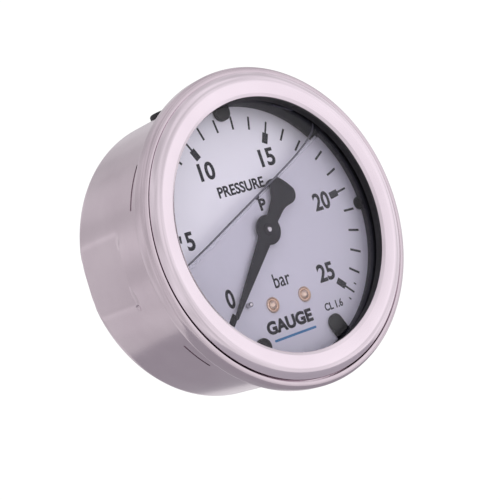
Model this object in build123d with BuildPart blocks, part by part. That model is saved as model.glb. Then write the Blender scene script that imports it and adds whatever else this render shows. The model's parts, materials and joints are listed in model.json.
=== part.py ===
"""Liquid-filled Bourdon tube pressure gauge, nominal size 63, centre back connection.

The gauge axis is Y. The dial faces -Y, twelve o'clock is +Z and the pipe thread
points along +Y. The origin is on the axis at the sealing shoulder, where the
thread starts. Heights are measured from that shoulder towards the viewer (-Y).
"""

import math
import os

from build123d import *

os.makedirs("parts", exist_ok=True)

# ---------------------------------------------------------------- driving sizes, mm
# Fits
running_gap = 0.03  # radial, pivot in its bearing hole
seat_gap = 0.05  # radial, a part that drops into its seat
open_pivot_gap = 0.12  # radial, link hole round the sector's tail pin

# Case, pressed from sheet
case_radius = 31.2
case_wall = 0.8
case_corner = 1.5
rim_flare = 2.8  # rim beyond the case wall
rim_band = 3.6  # height of the hemmed rim
rim_hem = 1.25  # thickness of the folded edge
rim_edge_fillet = 0.9
pocket_depth = 0.9  # each stamped flat below the case wall
pocket_width = 16.0
pocket_length = 15.7
pocket_angles = (58, 178, 298)

# Bezel ring, pressed sheet
bezel_groove = 0.25  # crevice between ring and rim
bezel_sheet = 0.8
bezel_cover = 3.27  # ring over the window's edge
bezel_rise = 0.9  # crown above the rim
bezel_shoulder = 1.6  # skirt to crown
bezel_shoulder_bulge = 1 / 3
bezel_front_bulge = 1 / 9
bezel_lip_width = 0.67
bezel_lip_drop = 1.1

# Window, its seal and the spacer ring
window_thickness = 2.5
seal_wall = 1.45  # seal round the window's edge
seal_overlap = 2.0  # seal on the window's face
seal_lip = 1.1
spacer_wall = 2.7
spacer_gap = 0.2  # between spacer ring and case wall
finger_width = 3.3
finger_thickness = 1.2
finger_slot_limit = 0.9  # widest finger, as a share of its length
fingers = ((90, 2.9), (0, 0.7), (180, 0.7), (294.5, 4.6), (244, 4.6))  # angle, reach

# Dial
dial_edge_gap = 0.8
dial_thickness = 0.4
dial_to_window = 4.7
dial_hole = 2.0
window_to_crown = 2.5
rivet_spacing = 8.9
rivet_drop = 14.85
rivet_shank = 0.9
rivet_head = 1.65
rivet_head_height = 0.55
rivet_collar = 1.5
rivet_tail = 1.3
rivet_tail_height = 0.3
stop_pin_radius = 0.5
stop_pin_place = (-10.7, -13.4)
stop_pin_height = 2.2

# Pointer, at rest on zero
pointer_rest_angle = 225.0
pointer_disc = 3.2
pointer_lift = 1.4  # underside of the sheet above the dial
pointer_sheet = 0.45
needle_length = 21.5
needle_root_width = 3.2
needle_tip_width = 0.85
tail_radius = 11.4
tail_half_angle = 18.0
tail_neck_width = 2.9
tail_corner = 0.9
tail_waist = 0.62  # share of the tail's half angle half way along it
hub_radius = 1.7
hub_bush_length = 0.8
hub_neck_radius = 1.0
hub_flare_radius = 1.3
hub_rise = 0.2
arbor_tip_rise = 0.75  # bright arbor end above the pointer

# Connection
thread_radius = 6.58  # G 1/4 B
thread_length = 11.0
thread_chamfer = 0.8
spigot_radius = 2.5
spigot_length = 2.0
square_width = 14.0
square_corner_radius = 9.2
square_length = 6.5
neck_radius = 6.9
back_reach = 9.0  # sealing shoulder to the case back
flange_margin = 2.0  # beyond the screws' circle
flange_thickness = 2.6
post_radius = 8.0
post_length = 9.6  # case floor to the movement, with the flange
port_radius = 1.6
port_depth = 16.0
bearing_relief = 1.0
arm_angle = 240.0
arm_width = 9.0
arm_wall = 1.8  # beyond the tube
restrictor_length = 3.0
restrictor_bore = 0.3
restrictor_recess = 0.8
seal_ring_margin = 1.1  # beyond the neck
seal_cord_radius = 0.7
stem_screw_margin = 2.6  # beyond the sealing ring
stem_screw_radius = 1.25
stem_screw_head = 2.0
stem_screw_head_height = 0.9
stem_screw_angles = (30, 150, 270)

# Bourdon tube
tube_radius = 22.0
tube_width = 7.0  # along the gauge axis
tube_breadth = 2.8
tube_wall = 0.35
tube_floor_gap = 2.2
tube_wrap = 285.0
tube_socket_clearance_angle = 2.5
tube_socket_sweep = 70.0  # the socket's cut runs out past the arm
tip_angle_span = 10.0
tip_margin = 0.5

# Movement
plate_thickness = 1.0
plate_spacing = 7.0
plate_ear = 3.0
pillar_radius = 1.6
pillar_screw_radius = 0.8
pillar_screw_head = 1.4
pillar_screw_head_height = 0.75
pillar_places = ((-8.5, 1.0), (8.5, 1.0), (-7.2, -10.5), (7.2, -10.5))
movement_screw_radius = 1.0
movement_screw_head = 1.6
movement_screw_head_height = 0.7
movement_screw_length = 4.5
movement_screw_places = ((-4.6, -3.6), (4.6, -3.6))
dial_gap = 1.0  # front plate to dial, the height of the rivet collars

# Gears
gear_module = 0.2
pinion_teeth = 12
sector_full_teeth = 120
sector_teeth_cut = 14
pressure_angle = 20.0
pinion_addendum = 1.0  # in modules
sector_addendum = 0.7
dedendum = 1.25
backlash = 0.03
pinion_length = 2.0
sector_thickness = 1.0
sector_rim = 2.4
sector_hub = 2.6
sector_spoke_width = 1.6
sector_mid_lean = 13.5  # degrees towards three o'clock at zero
arbor_radius = 0.75
pivot_radius = 0.6
pivot_chamfer = 0.15
sector_lift = 1.2  # sector above the back plate
sector_collar = 1.5

# Link
tail_arm = 4.0
tail_angle = -70.0
tail_width = 2.6
link_width = 2.2
link_thickness = 0.5
link_gap = 0.35  # link above the sector sheet
pin_radius = 0.5
pin_head = 0.9
pin_head_height = 0.5

# Hairspring
spring_inner = 1.8
spring_pitch = 0.7
spring_half_turns = 10
spring_strip = 0.12
spring_width = 0.6
spring_drop = 2.4  # below the front plate
collet_radius = 1.5
collet_length = 1.4
stud_radius = 0.5

# Filling plug
plug_height = 15.0
plug_cap_radius = 4.5
plug_cap_height = 1.1
plug_neck_radius = 3.35
plug_flange_radius = 4.3
plug_flange_height = 1.2

# ---------------------------------------------------------------- heights, mm
back_height = back_reach
case_floor = back_height + case_wall
back_plate_base = case_floor + post_length
back_plate_top = back_plate_base + plate_thickness
front_plate_base = back_plate_top + plate_spacing
front_plate_top = front_plate_base + plate_thickness
dial_back = front_plate_top + dial_gap
dial_face = dial_back + dial_thickness
window_inner = dial_face + dial_to_window
window_outer = window_inner + window_thickness
crown_height = window_outer + window_to_crown
rim_front = crown_height - bezel_rise
rim_rear = rim_front - rim_band
rim_step = rim_rear + case_wall
seal_top = window_outer + seal_lip
pointer_base = dial_face + pointer_lift
pointer_top = pointer_base + pointer_sheet
arbor_tip = pointer_top + arbor_tip_rise
sector_base = back_plate_top + sector_lift
sector_top = sector_base + sector_thickness
link_base = sector_top + link_gap
link_top = link_base + link_thickness
pin_head_base = link_top + seat_gap
spring_base = front_plate_base - spring_drop
tube_mid_height = case_floor + tube_floor_gap + tube_width / 2

# ---------------------------------------------------------------- radii, mm
case_bore = case_radius - case_wall
pocket_flat = case_radius - pocket_depth
rim_radius = case_radius + rim_flare
rim_bore = rim_radius - rim_hem
skirt_radius = rim_bore - bezel_groove
skirt_bore = skirt_radius - bezel_sheet
window_radius = skirt_bore - seat_gap - seal_wall
seal_bore = window_radius - seal_overlap
bezel_opening = window_radius - bezel_cover
bezel_crown_radius = skirt_radius - bezel_shoulder
lip_radius = bezel_opening + bezel_lip_width
spacer_bore = case_bore - spacer_gap - spacer_wall
dial_radius = case_bore - dial_edge_gap
seal_ring_radius = neck_radius + seal_ring_margin
stem_screw_circle = seal_ring_radius + stem_screw_margin
flange_radius = stem_screw_circle + flange_margin
arm_reach = tube_radius + tube_breadth / 2 + arm_wall
pinion_pitch_radius = gear_module * pinion_teeth / 2
sector_pitch_radius = gear_module * sector_full_teeth / 2
sector_pivot = (0.0, -(pinion_pitch_radius + sector_pitch_radius))


def front(height):
    """Sketch plane facing the viewer at a height in front of the shoulder."""
    return Plane.XZ.offset(height)


def section(angle=0.0):
    """Half plane through the gauge axis at a dial angle: x is radius, y is height."""
    turn = math.radians(angle)
    x_dir = (math.cos(turn), 0, math.sin(turn))
    z_dir = (math.sin(turn), 0, -math.cos(turn))
    return Plane(origin=(0, 0, 0), x_dir=x_dir, z_dir=z_dir)


def polar(radius, angle, centre=(0.0, 0.0)):
    """Point on the dial plane at a radius and an angle from three o'clock."""
    turn = math.radians(angle)
    return (centre[0] + radius * math.cos(turn), centre[1] + radius * math.sin(turn))


def export(part, name):
    """Label a finished piece and write its STEP file."""
    part.label = name
    export_step(part, f"parts/{name}.step")


def involute_angle(radius, base_radius):
    """Roll-off angle of an involute flank at a radius, in radians."""
    if radius <= base_radius:
        return 0.0
    pressure = math.acos(base_radius / radius)
    return math.tan(pressure) - pressure


def tooth_points(teeth, addendum, centre_angle, centre=(0.0, 0.0), flank_steps=5):
    """Outline of one involute tooth, from its clockwise root to its other root."""
    pitch_radius = gear_module * teeth / 2
    base_radius = pitch_radius * math.cos(math.radians(pressure_angle))
    root_radius = pitch_radius - dedendum * gear_module
    tip_radius = pitch_radius + addendum * gear_module
    half_tooth = math.pi / (2 * teeth) - backlash / (2 * pitch_radius)
    half_base = half_tooth + involute_angle(pitch_radius, base_radius)
    flank_start = max(root_radius, base_radius)
    span = tip_radius - flank_start
    radii = [flank_start + span * step / flank_steps for step in range(flank_steps + 1)]
    offsets = [half_base - involute_angle(radius, base_radius) for radius in radii]
    flank = list(zip(radii, offsets))
    if root_radius < flank_start:
        flank = [(root_radius, half_base)] + flank
    low = [polar(r, centre_angle - math.degrees(o), centre) for r, o in flank]
    high = [polar(r, centre_angle + math.degrees(o), centre) for r, o in reversed(flank)]
    return low + high


# ---------------------------------------------------------------- case
with BuildPart() as case_shell:
    with BuildSketch(section()) as case_profile:
        with BuildLine():
            Polyline(
                (neck_radius + seat_gap, case_floor),
                (neck_radius + seat_gap, back_height),
                (case_radius, back_height),
                (case_radius, rim_rear),
                (rim_radius, rim_rear),
                (rim_radius, rim_front),
                (rim_bore, rim_front),
                (rim_bore, rim_step),
                (case_bore, rim_step),
                (case_bore, case_floor),
                close=True,
            )
        make_face()
        # roundings: outside back edge, inside back edge, and the folded rim
        for corner, rounding in (
            ((case_radius, back_height), case_corner),
            ((case_bore, case_floor), case_corner - case_wall),
            ((rim_radius, rim_rear), rim_edge_fillet),
            ((rim_radius, rim_front), rim_edge_fillet),
        ):
            fillet(case_profile.vertices().sort_by_distance(corner)[0], rounding)
    revolve(axis=Axis.Y)
    # stamped flats: a pad inside keeps the sheet thickness behind each flat
    for pocket_angle in pocket_angles:
        with BuildSketch(front(back_height)):
            Circle(case_bore + seat_gap)
            with PolarLocations(pocket_flat - case_wall + pocket_width / 2, 1, pocket_angle):
                Rectangle(pocket_width, pocket_width, mode=Mode.INTERSECT)
        extrude(amount=pocket_length + case_wall)
        with BuildSketch(front(back_height)):
            with PolarLocations(pocket_flat + pocket_width / 2, 1, pocket_angle):
                Rectangle(pocket_width, 2 * pocket_width)
        extrude(amount=pocket_length, mode=Mode.SUBTRACT)
    # hole for the filling plug at twelve o'clock
    with BuildSketch(Plane.XY.offset(case_bore - plug_flange_height)):
        with Locations((0, -plug_height)):
            Circle(plug_neck_radius + seat_gap)
    extrude(amount=plug_flange_height + 2 * case_wall, mode=Mode.SUBTRACT)
    # clearance holes for the stem screws
    with BuildSketch(front(back_height)):
        with Locations([polar(stem_screw_circle, angle) for angle in stem_screw_angles]):
            Circle(stem_screw_radius + seat_gap)
    extrude(amount=case_wall, mode=Mode.SUBTRACT)
export(case_shell.part, "case_shell")

with BuildPart() as filling_plug:
    with BuildSketch(Plane.XY.offset(case_radius)):
        with Locations((0, -plug_height)):
            Circle(plug_cap_radius)
    extrude(amount=plug_cap_height)
    fillet(filling_plug.faces().sort_by(Axis.Z)[-1].edges(), plug_cap_height / 2)
    flange_top = math.sqrt(case_bore**2 - plug_flange_radius**2) - seat_gap
    with BuildSketch(Plane.XY.offset(flange_top - plug_flange_height)):
        with Locations((0, -plug_height)):
            Circle(plug_flange_radius)
    extrude(amount=plug_flange_height)
    with BuildSketch(Plane.XY.offset(flange_top)):
        with Locations((0, -plug_height)):
            Circle(plug_neck_radius)
    extrude(amount=case_radius - flange_top)
export(filling_plug.part, "filling_plug")

# ---------------------------------------------------------------- bezel, window, seal
shoulder_height = crown_height - bezel_lip_drop / 2
skirt_top = rim_front - bezel_groove
with BuildPart() as bezel_ring:
    with BuildSketch(section()):
        with BuildLine():
            Polyline(
                (skirt_bore, seal_top),
                (skirt_bore, rim_step),
                (skirt_radius, rim_step),
                (skirt_radius, skirt_top),
            )
            rounded = crown_height - (crown_height - skirt_top) * bezel_shoulder_bulge
            ThreePointArc(
                (skirt_radius, skirt_top),
                (skirt_radius - bezel_shoulder * bezel_shoulder_bulge, rounded),
                (bezel_crown_radius, crown_height),
            )
            middle_radius = (bezel_crown_radius + lip_radius) / 2
            ThreePointArc(
                (bezel_crown_radius, crown_height),
                (middle_radius, crown_height - bezel_lip_drop * bezel_front_bulge),
                (lip_radius, shoulder_height),
            )
            Polyline(
                (lip_radius, shoulder_height),
                (bezel_opening, crown_height - bezel_lip_drop),
                (bezel_opening, window_outer),
                (bezel_opening + bezel_sheet, window_outer),
                (bezel_opening + bezel_sheet, seal_top),
                (skirt_bore, seal_top),
            )
        make_face()
    revolve(axis=Axis.Y)
export(bezel_ring.part, "bezel_ring")

with BuildPart() as window:
    with BuildSketch(front(window_inner)):
        Circle(window_radius)
    extrude(amount=window_thickness)
export(window.part, "window")

with BuildPart() as window_gasket:
    with BuildSketch(section()):
        with BuildLine():
            Polyline(
                (seal_bore, window_outer),
                (window_radius, window_outer),
                (window_radius, rim_step),
                (skirt_bore - seat_gap, rim_step),
                (skirt_bore - seat_gap, seal_top),
                (seal_bore, seal_top),
                close=True,
            )
        make_face()
    revolve(axis=Axis.Y)
export(window_gasket.part, "window_gasket")

with BuildPart() as spacer_ring:
    with BuildSketch(front(dial_face)):
        Circle(case_bore - spacer_gap)
        Circle(spacer_bore, mode=Mode.SUBTRACT)
    extrude(amount=dial_to_window)
    for finger_angle, finger_reach in fingers:
        finger_tip = spacer_bore - finger_reach
        finger_length = finger_reach + seat_gap + finger_width / 2
        slot_width = min(finger_width, finger_length * finger_slot_limit)
        with BuildSketch(front(dial_face)):
            with PolarLocations(finger_tip + finger_length / 2, 1, finger_angle):
                SlotOverall(finger_length, slot_width)
            Circle(spacer_bore + spacer_gap, mode=Mode.INTERSECT)
        extrude(amount=finger_thickness)
export(spacer_ring.part, "spacer_ring")

# ---------------------------------------------------------------- dial
rivet_places = [(side * rivet_spacing / 2, -rivet_drop) for side in (-1, 1)]
with BuildPart() as dial:
    with BuildSketch(front(dial_back)):
        Circle(dial_radius)
        Circle(dial_hole, mode=Mode.SUBTRACT)
        with Locations(rivet_places):
            Circle(rivet_shank, mode=Mode.SUBTRACT)
        with Locations(stop_pin_place):
            Circle(stop_pin_radius, mode=Mode.SUBTRACT)
    extrude(amount=dial_thickness)
export(dial.part, "dial")

with BuildPart() as dial_rivets:
    rivet_steps = (
        (front_plate_base - rivet_tail_height, rivet_tail_height, rivet_tail),
        (front_plate_base, plate_thickness, rivet_shank),
        (front_plate_top, dial_gap, rivet_collar),
        (dial_back, dial_thickness, rivet_shank),
        (dial_face, rivet_head_height, rivet_head),
    )
    for step_height, step_length, step_radius in rivet_steps:
        with BuildSketch(front(step_height)):
            with Locations(rivet_places):
                Circle(step_radius)
        extrude(amount=step_length)
    fillet(dial_rivets.faces().group_by(Axis.Y)[0].edges(), rivet_head_height / 2)
export(dial_rivets.part, "dial_rivets")

with BuildPart() as stop_pin:
    with BuildSketch(front(dial_back)):
        with Locations(stop_pin_place):
            Circle(stop_pin_radius)
    extrude(amount=dial_thickness + stop_pin_height)
export(stop_pin.part, "stop_pin")

# ---------------------------------------------------------------- connection
with BuildPart() as bourdon_tube:
    with BuildSketch(section(arm_angle)):
        with Locations((tube_radius, tube_mid_height)):
            SlotOverall(tube_width, tube_breadth, rotation=90)
            SlotOverall(
                tube_width - 2 * tube_wall,
                tube_breadth - 2 * tube_wall,
                rotation=90,
                mode=Mode.SUBTRACT,
            )
    revolve(axis=Axis.Y, revolution_arc=tube_wrap)
export(bourdon_tube.part, "bourdon_tube")

with BuildPart() as tube_socket:
    with BuildSketch(section(arm_angle + tube_socket_clearance_angle)):
        with Locations((tube_radius, tube_mid_height)):
            SlotOverall(tube_width, tube_breadth, rotation=90)
    revolve(axis=Axis.Y, revolution_arc=tube_socket_sweep)

with BuildPart() as connection_block:
    with BuildSketch(front(-thread_length)):
        Circle(thread_radius)
    extrude(amount=thread_length)
    chamfer(connection_block.faces().sort_by(Axis.Y)[-1].edges(), thread_chamfer)
    with BuildSketch(front(-thread_length - spigot_length)):
        Circle(spigot_radius)
    extrude(amount=spigot_length)
    with BuildSketch(front(0)):
        Rectangle(square_width, square_width)
        Circle(square_corner_radius, mode=Mode.INTERSECT)
    extrude(amount=square_length)
    with BuildSketch(front(square_length)):
        Circle(neck_radius)
    extrude(amount=case_floor - square_length)
    with BuildSketch(front(case_floor)):
        Circle(flange_radius)
    extrude(amount=flange_thickness)
    with BuildSketch(front(case_floor + flange_thickness)):
        Circle(post_radius)
        with PolarLocations(arm_reach / 2, 1, arm_angle):
            Rectangle(arm_reach, arm_width)
    extrude(amount=back_plate_base - case_floor - flange_thickness)
    # groove for the sealing ring
    with BuildSketch(front(case_floor)):
        Circle(seal_ring_radius + seal_cord_radius + seat_gap)
        Circle(seal_ring_radius - seal_cord_radius - seat_gap, mode=Mode.SUBTRACT)
    extrude(amount=2 * seal_cord_radius, mode=Mode.SUBTRACT)
    # pressure port, the duct to the tube and the tube's socket
    with BuildSketch(front(-thread_length - spigot_length)):
        Circle(port_radius)
    extrude(amount=thread_length + spigot_length + port_depth, mode=Mode.SUBTRACT)
    duct_angle = arm_angle + tube_socket_clearance_angle / 2
    duct_radius = tube_radius * math.radians(tube_socket_clearance_angle) / 2 - seat_gap
    duct_plane = Plane(
        origin=(0, -tube_mid_height, 0),
        x_dir=(0, 1, 0),
        z_dir=(math.cos(math.radians(duct_angle)), 0, math.sin(math.radians(duct_angle))),
    )
    with BuildSketch(duct_plane):
        Circle(duct_radius)
    extrude(amount=tube_radius, mode=Mode.SUBTRACT)
    add(tube_socket.part, mode=Mode.SUBTRACT)
    # relief behind the pinion's back bearing, and the tapped holes
    with BuildSketch(front(back_plate_base)):
        Circle(bearing_relief)
    extrude(amount=-plate_thickness, mode=Mode.SUBTRACT)
    with BuildSketch(front(back_plate_base)):
        with Locations(movement_screw_places):
            Circle(movement_screw_radius)
    extrude(amount=-movement_screw_length, mode=Mode.SUBTRACT)
    with BuildSketch(front(case_floor)):
        with Locations([polar(stem_screw_circle, angle) for angle in stem_screw_angles]):
            Circle(stem_screw_radius)
    extrude(amount=flange_thickness, mode=Mode.SUBTRACT)
export(connection_block.part, "connection_block")

with BuildPart() as stem_seal:
    with BuildSketch(section()):
        with Locations((seal_ring_radius, case_floor + seal_cord_radius)):
            Circle(seal_cord_radius)
    revolve(axis=Axis.Y)
export(stem_seal.part, "stem_seal")

with BuildPart() as stem_screws:
    screw_points = [polar(stem_screw_circle, angle) for angle in stem_screw_angles]
    with BuildSketch(front(back_height - stem_screw_head_height)):
        with Locations(screw_points):
            Circle(stem_screw_head)
    extrude(amount=stem_screw_head_height)
    with BuildSketch(front(back_height)):
        with Locations(screw_points):
            Circle(stem_screw_radius)
    extrude(amount=case_wall + flange_thickness - seat_gap)
export(stem_screws.part, "stem_screws")

with BuildPart() as restrictor_screw:
    with BuildSketch(front(restrictor_recess - thread_length - spigot_length)):
        Circle(port_radius)
        Circle(restrictor_bore, mode=Mode.SUBTRACT)
    extrude(amount=restrictor_length)
export(restrictor_screw.part, "restrictor_screw")

# ---------------------------------------------------------------- tube tip and link
tube_end = arm_angle - tube_wrap
tip_place = polar(tube_radius, tube_end - tip_angle_span / 2)
tail_place = polar(tail_arm, tail_angle, sector_pivot)
with BuildPart() as tube_tip:
    with BuildSketch(section(tube_end)):
        with Locations((tube_radius, tube_mid_height)):
            SlotOverall(tube_width + 2 * tip_margin, tube_breadth + 2 * tip_margin, rotation=90)
    revolve(axis=Axis.Y, revolution_arc=tip_angle_span)
    with BuildSketch(front(tube_mid_height)):
        with Locations(tip_place):
            Circle(link_width / 2)
    extrude(amount=link_base - seat_gap - tube_mid_height)
    with BuildSketch(front(link_base - seat_gap)):
        with Locations(tip_place):
            Circle(pin_radius)
    extrude(amount=-link_width, mode=Mode.SUBTRACT)
export(tube_tip.part, "tube_tip")

with BuildPart() as tip_pin:
    with BuildSketch(front(link_base - seat_gap - link_width)):
        with Locations(tip_place):
            Circle(pin_radius)
    extrude(amount=pin_head_base + seat_gap + link_width - link_base)
    with BuildSketch(front(pin_head_base)):
        with Locations(tip_place):
            Circle(pin_head)
    extrude(amount=pin_head_height)
export(tip_pin.part, "tip_pin")

with BuildPart() as link:
    link_run = Vector(*tail_place) - Vector(*tip_place)
    link_middle = (Vector(*tail_place) + Vector(*tip_place)) / 2
    link_turn = math.degrees(math.atan2(link_run.Y, link_run.X))
    with BuildSketch(front(link_base)):
        with Locations((link_middle.X, link_middle.Y)):
            SlotOverall(link_run.length + link_width, link_width, rotation=link_turn)
        with Locations(tip_place):
            Circle(pin_radius + running_gap, mode=Mode.SUBTRACT)
        with Locations(tail_place):
            Circle(pin_radius + open_pivot_gap, mode=Mode.SUBTRACT)
    extrude(amount=link_thickness)
export(link.part, "link")

# ---------------------------------------------------------------- movement
with BuildPart() as movement_back_plate:
    with BuildSketch(front(back_plate_base)):
        with Locations(*pillar_places, sector_pivot):
            Circle(plate_ear)
        make_hull()
        with Locations((0, 0), sector_pivot):
            Circle(pivot_radius + running_gap, mode=Mode.SUBTRACT)
        with Locations(movement_screw_places):
            Circle(movement_screw_radius, mode=Mode.SUBTRACT)
        with Locations(pillar_places):
            Circle(pillar_screw_radius, mode=Mode.SUBTRACT)
    extrude(amount=plate_thickness)
export(movement_back_plate.part, "movement_back_plate")

with BuildPart() as movement_front_plate:
    with BuildSketch(front(front_plate_base)):
        with Locations(*pillar_places, *rivet_places):
            Circle(plate_ear)
        make_hull()
        with Locations((0, 0)):
            Circle(arbor_radius + running_gap, mode=Mode.SUBTRACT)
        with Locations(sector_pivot):
            Circle(pivot_radius + running_gap, mode=Mode.SUBTRACT)
        with Locations(rivet_places):
            Circle(rivet_shank, mode=Mode.SUBTRACT)
        with Locations(pillar_places):
            Circle(pillar_screw_radius, mode=Mode.SUBTRACT)
    extrude(amount=plate_thickness)
export(movement_front_plate.part, "movement_front_plate")

with BuildPart() as movement_pillars:
    with BuildSketch(front(back_plate_base)):
        with Locations(pillar_places):
            Circle(pillar_screw_radius)
    extrude(amount=plate_thickness)
    with BuildSketch(front(back_plate_top)):
        with Locations(pillar_places):
            Circle(pillar_radius)
    extrude(amount=plate_spacing)
    with BuildSketch(front(front_plate_base)):
        with Locations(pillar_places):
            Circle(pillar_screw_radius)
    extrude(amount=-plate_spacing / 2, mode=Mode.SUBTRACT)
export(movement_pillars.part, "movement_pillars")

with BuildPart() as pillar_screws:
    with BuildSketch(front(front_plate_base - plate_spacing / 2 + pillar_screw_radius)):
        with Locations(pillar_places):
            Circle(pillar_screw_radius)
    extrude(amount=plate_spacing / 2 - pillar_screw_radius + plate_thickness)
    with BuildSketch(front(front_plate_top)):
        with Locations(pillar_places):
            Circle(pillar_screw_head)
    extrude(amount=pillar_screw_head_height)
export(pillar_screws.part, "pillar_screws")

with BuildPart() as movement_screws:
    with BuildSketch(front(back_plate_top)):
        with Locations(movement_screw_places):
            Circle(movement_screw_head)
    extrude(amount=movement_screw_head_height)
    with BuildSketch(front(back_plate_top)):
        with Locations(movement_screw_places):
            Circle(movement_screw_radius)
    extrude(amount=seat_gap - plate_thickness - movement_screw_length)
export(movement_screws.part, "movement_screws")

# ---------------------------------------------------------------- gears and arbors
pinion_pitch = 360 / pinion_teeth
sector_pitch = 360 / sector_full_teeth
sector_root = sector_pitch_radius - dedendum * gear_module
rim_inner = sector_root - sector_rim

with BuildPart() as pinion_arbor:
    with BuildSketch(front(sector_base + sector_thickness / 2 - pinion_length / 2)):
        with BuildLine():
            pinion_outline = []
            for tooth in range(pinion_teeth):
                # a gap faces the sector, so the first tooth stands half a pitch off
                lean = -90 + (tooth + 0.5) * pinion_pitch
                pinion_outline += tooth_points(pinion_teeth, pinion_addendum, lean)
            Polyline(*pinion_outline, close=True)
        make_face()
    extrude(amount=pinion_length)
    with BuildSketch(front(back_plate_base - plate_thickness / 2)):
        Circle(pivot_radius)
    extrude(amount=arbor_tip - back_plate_base + plate_thickness / 2)
    chamfer(pinion_arbor.faces().sort_by(Axis.Y)[0].edges(), pivot_chamfer)
    with BuildSketch(front(back_plate_top + seat_gap)):
        Circle(arbor_radius)
    extrude(amount=pointer_base - back_plate_top - seat_gap)
export(pinion_arbor.part, "pinion_arbor")

with BuildPart() as sector_gear:
    with BuildSketch(front(sector_base)):
        first = 90 - sector_mid_lean - (sector_teeth_cut // 2) * sector_pitch
        # a tooth of the sector stands on the centre line at zero
        first = 90 + round((first - 90) / sector_pitch) * sector_pitch
        last = first + (sector_teeth_cut - 1) * sector_pitch
        low_edge = first - sector_pitch / 2
        high_edge = last + sector_pitch / 2
        with BuildLine():
            teeth = []
            for tooth in range(sector_teeth_cut):
                centre_angle = first + tooth * sector_pitch
                args = (sector_full_teeth, sector_addendum, centre_angle, sector_pivot)
                teeth += tooth_points(*args)
            Polyline(
                polar(rim_inner, low_edge, sector_pivot),
                polar(sector_root, low_edge, sector_pivot),
                *teeth,
                polar(sector_root, high_edge, sector_pivot),
                polar(rim_inner, high_edge, sector_pivot),
            )
            ThreePointArc(
                polar(rim_inner, high_edge, sector_pivot),
                polar(rim_inner, (low_edge + high_edge) / 2, sector_pivot),
                polar(rim_inner, low_edge, sector_pivot),
            )
        make_face()
        # two spokes from the hub to the ends of the toothed rim
        for spoke_angle in (low_edge + sector_pitch, high_edge - sector_pitch):
            spoke_length = rim_inner + sector_rim / 2
            with Locations(Location((*polar(spoke_length / 2, spoke_angle, sector_pivot), 0))):
                Rectangle(spoke_length, sector_spoke_width, rotation=spoke_angle)
        with Locations(sector_pivot):
            Circle(sector_hub)
        tail_length = tail_arm + tail_width / 2
        tail_middle = polar(tail_length / 2, tail_angle, sector_pivot)
        with Locations(tail_middle):
            SlotOverall(tail_length + tail_width / 2, tail_width, rotation=tail_angle)
        with Locations(sector_pivot):
            Circle(arbor_radius, mode=Mode.SUBTRACT)
        with Locations(tail_place):
            Circle(pin_radius, mode=Mode.SUBTRACT)
    extrude(amount=sector_thickness)
export(sector_gear.part, "sector_gear")

with BuildPart() as sector_arbor:
    sector_arbor_steps = (
        (back_plate_base + seat_gap, plate_thickness, pivot_radius),
        (back_plate_top + seat_gap, sector_base - back_plate_top - seat_gap, sector_collar),
        (sector_base, sector_thickness, arbor_radius),
        (sector_top, plate_thickness / 2, sector_collar),
        (sector_top, front_plate_base - seat_gap - sector_top, arbor_radius),
        (front_plate_base - seat_gap, plate_thickness + seat_gap, pivot_radius),
    )
    for step_height, step_length, step_radius in sector_arbor_steps:
        with BuildSketch(front(step_height)):
            with Locations(sector_pivot):
                Circle(step_radius)
        extrude(amount=step_length)
export(sector_arbor.part, "sector_arbor")

with BuildPart() as tail_pin:
    with BuildSketch(front(sector_base)):
        with Locations(tail_place):
            Circle(pin_radius)
    extrude(amount=pin_head_base - sector_base)
    with BuildSketch(front(pin_head_base)):
        with Locations(tail_place):
            Circle(pin_head)
    extrude(amount=pin_head_height)
export(tail_pin.part, "tail_pin")

# ---------------------------------------------------------------- hairspring
with BuildPart() as hairspring_collet:
    with BuildSketch(front(spring_base - (collet_length - spring_width) / 2)):
        Circle(collet_radius)
        Circle(arbor_radius, mode=Mode.SUBTRACT)
    extrude(amount=collet_length)
export(hairspring_collet.part, "hairspring_collet")


def spiral_edge(offset):
    """Half-turn arcs of the spiral, as start, middle and end points, offset sideways."""
    arcs = []
    for turn in range(spring_half_turns):
        centre = ((turn % 2) * spring_pitch / 2, 0.0)
        radius = spring_inner + turn * spring_pitch / 2 + offset
        start = 180 * turn
        arcs.append([polar(radius, start + step, centre) for step in (0, 90, 180)])
    return arcs


with BuildPart() as hairspring:
    with BuildSketch(front(spring_base)):
        with BuildLine():
            outer_arcs = spiral_edge(spring_strip / 2)
            inner_arcs = spiral_edge(-spring_strip / 2)
            for arc in outer_arcs + inner_arcs:
                ThreePointArc(*arc)
            Line(outer_arcs[0][0], inner_arcs[0][0])
            Line(outer_arcs[-1][2], inner_arcs[-1][2])
        make_face()
    extrude(amount=spring_width)
export(hairspring.part, "hairspring")

spring_end = outer_arcs[-1][2]
with BuildPart() as hairspring_stud:
    stud_place = (spring_end[0] + math.copysign(stud_radius + seat_gap, spring_end[0]), 0.0)
    with BuildSketch(front(spring_base - stud_radius)):
        with Locations(stud_place):
            Circle(stud_radius)
    extrude(amount=front_plate_base - spring_base + stud_radius)
export(hairspring_stud.part, "hairspring_stud")

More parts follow.
